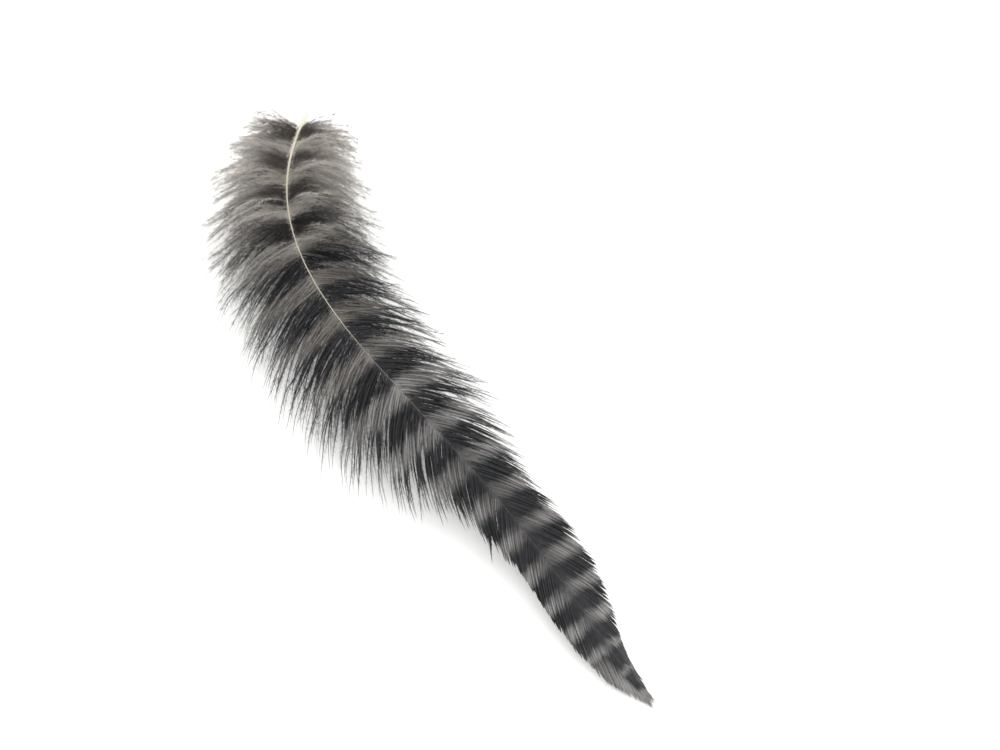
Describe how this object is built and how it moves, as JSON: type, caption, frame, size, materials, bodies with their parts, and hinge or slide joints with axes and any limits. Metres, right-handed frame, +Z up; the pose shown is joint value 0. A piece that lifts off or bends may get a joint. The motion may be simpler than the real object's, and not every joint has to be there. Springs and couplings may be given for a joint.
{
  "type": "rooster saddle feather",
  "caption": "Loose barred rooster saddle feather lying flat: bare quill, downy base, loose fringe and a narrow vane that tapers to a soft point.",
  "frame": {"origin": "middle of the feather's footprint, on the surface that it lies on", "axes": "+Z up from the surface, -Y from the quill towards the feather's tip, +X to the left of that way"},
  "size_m": [0.0434, 0.145, 0.0153],
  "materials": {
    "barred_feather": "matte"
  },
  "bodies": {
    "root": {"feather": "barred_feather"}
  },
  "joints": []
}
